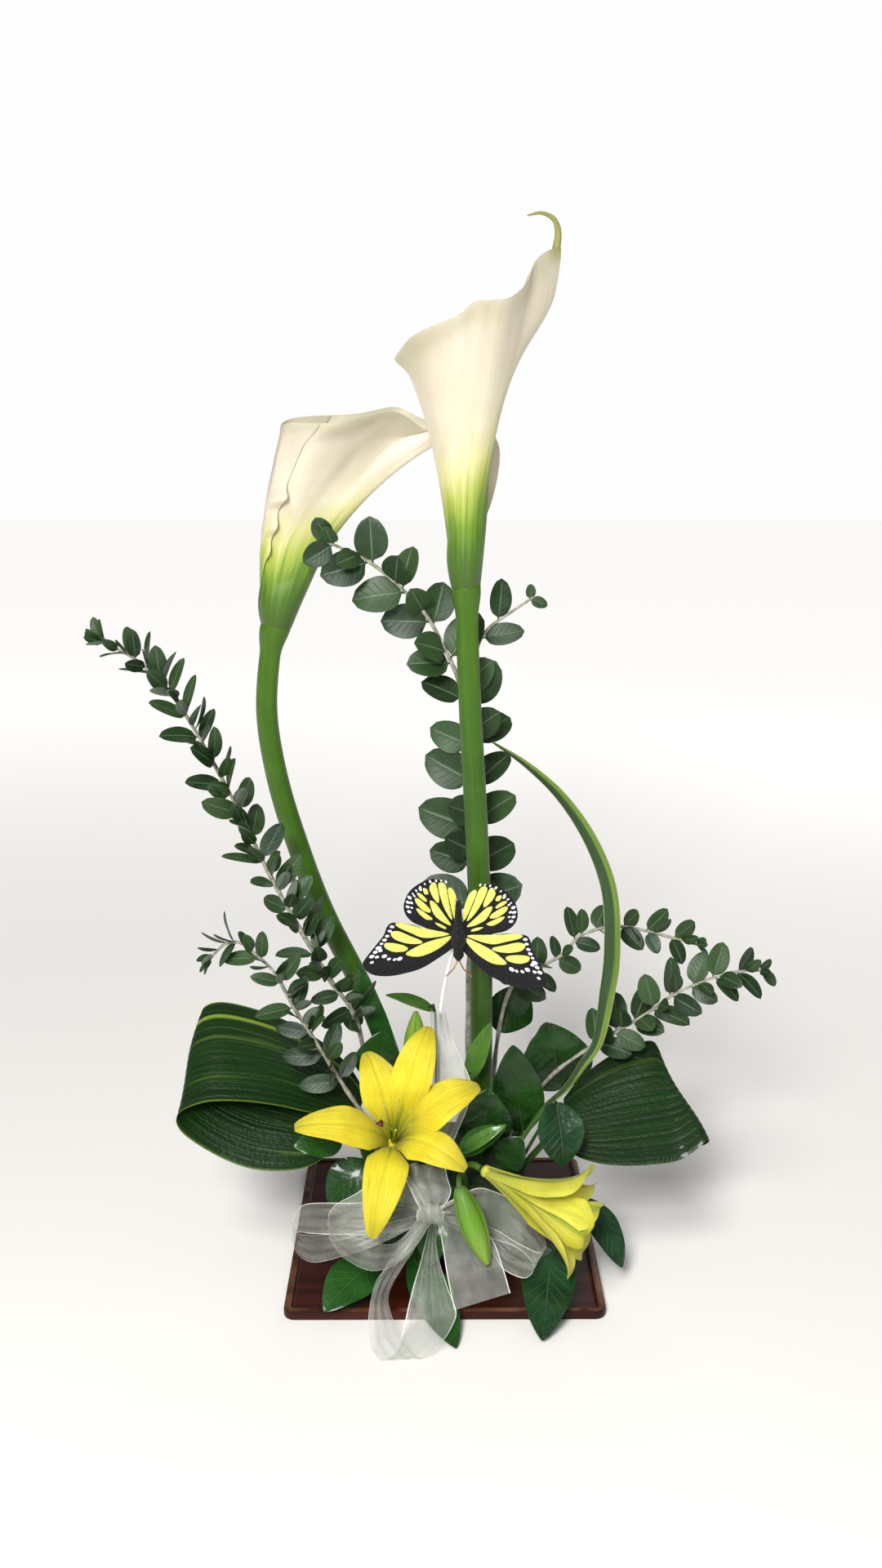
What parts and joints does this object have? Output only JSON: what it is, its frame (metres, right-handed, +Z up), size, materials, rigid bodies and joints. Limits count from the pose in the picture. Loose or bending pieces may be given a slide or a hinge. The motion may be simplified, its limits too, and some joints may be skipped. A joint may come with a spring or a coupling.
{
  "type": "calla lily arrangement",
  "caption": "Calla lilies, yellow lilies, leafy sprays and looped broad leaves standing in flower foam on a low square dish, tied with a sheer bow and set with a butterfly pick.",
  "frame": {"origin": "centre of the dish's underside, on the surface that the arrangement stands on", "axes": "+Z up along the tall calla's stalk; +X to the right as seen from the front; -Y towards the front, where the bow and the open lily are"},
  "size_m": [0.4397, 0.2432, 0.6582],
  "materials": {
    "dish": "satin dark brown glaze",
    "foam": "matt, wet and porous",
    "stem": "smooth fresh green",
    "spathe": "soft satin cream, green towards the base",
    "spadix": "matt, finely pimpled",
    "petal": "soft satin yellow",
    "style": "smooth pale green",
    "bud": "smooth light green",
    "spray": "matt grey green with a pale underside",
    "leaf": "glossy dark green",
    "grass": "satin green, one half paler",
    "ribbon": "sheer woven, silvery white",
    "stick": "smooth white",
    "wing": "printed, yellow cells with black veins",
    "insect_body": "black felt"
  },
  "bodies": {
    "root": {"calla_tall_stalk": "stem", "calla_tall_spathe": "spathe", "calla_tall_spadix": "spadix", "calla_short_stalk": "stem", "calla_short_spathe": "spathe", "calla_short_spadix": "spadix", "spray_left_tall": "spray", "spray_left_low": "spray", "spray_centre": "spray", "spray_right_high": "spray", "spray_right_low": "spray", "looped_leaf_left": "leaf", "looped_leaf_right": "leaf", "grass_leaf": "grass", "leaf_behind_stem": "leaf", "leaf_right_round": "leaf", "leaf_right_dark": "leaf", "leaf_right_glossy": "leaf", "leaf_mid_dark": "leaf", "leaf_mid_deep": "leaf", "leaf_mid_low": "leaf", "leaf_left_pale": "leaf", "leaf_left_low": "leaf", "leaf_left_back": "leaf", "leaf_left_tall": "leaf", "leaf_dish_left": "leaf", "leaf_dish_front": "leaf", "leaf_dish_middle": "leaf", "leaf_dish_right": "leaf", "leaf_far_right": "leaf", "leaf_back_left": "leaf", "leaf_back_middle": "leaf", "leaf_back_right": "leaf", "lily_leaf_front": "leaf", "lily_leaf_stem": "leaf", "lily_leaf_left": "leaf", "lily_open_tepals": "petal", "lily_open_style": "style", "lily_open_stalk": "stem", "lily_side_tepals": "petal", "lily_side_style": "style", "lily_side_stalk": "stem", "lily_bud_upright": "bud", "lily_bud_hanging": "bud", "ribbon_bow": "ribbon", "ribbon_pick": "stick", "ribbon_tail": "ribbon", "butterfly_wings": "wing", "butterfly_body": "insect_body", "butterfly_stick": "stick", "dish": "dish", "foam": "foam"}
  },
  "joints": []
}
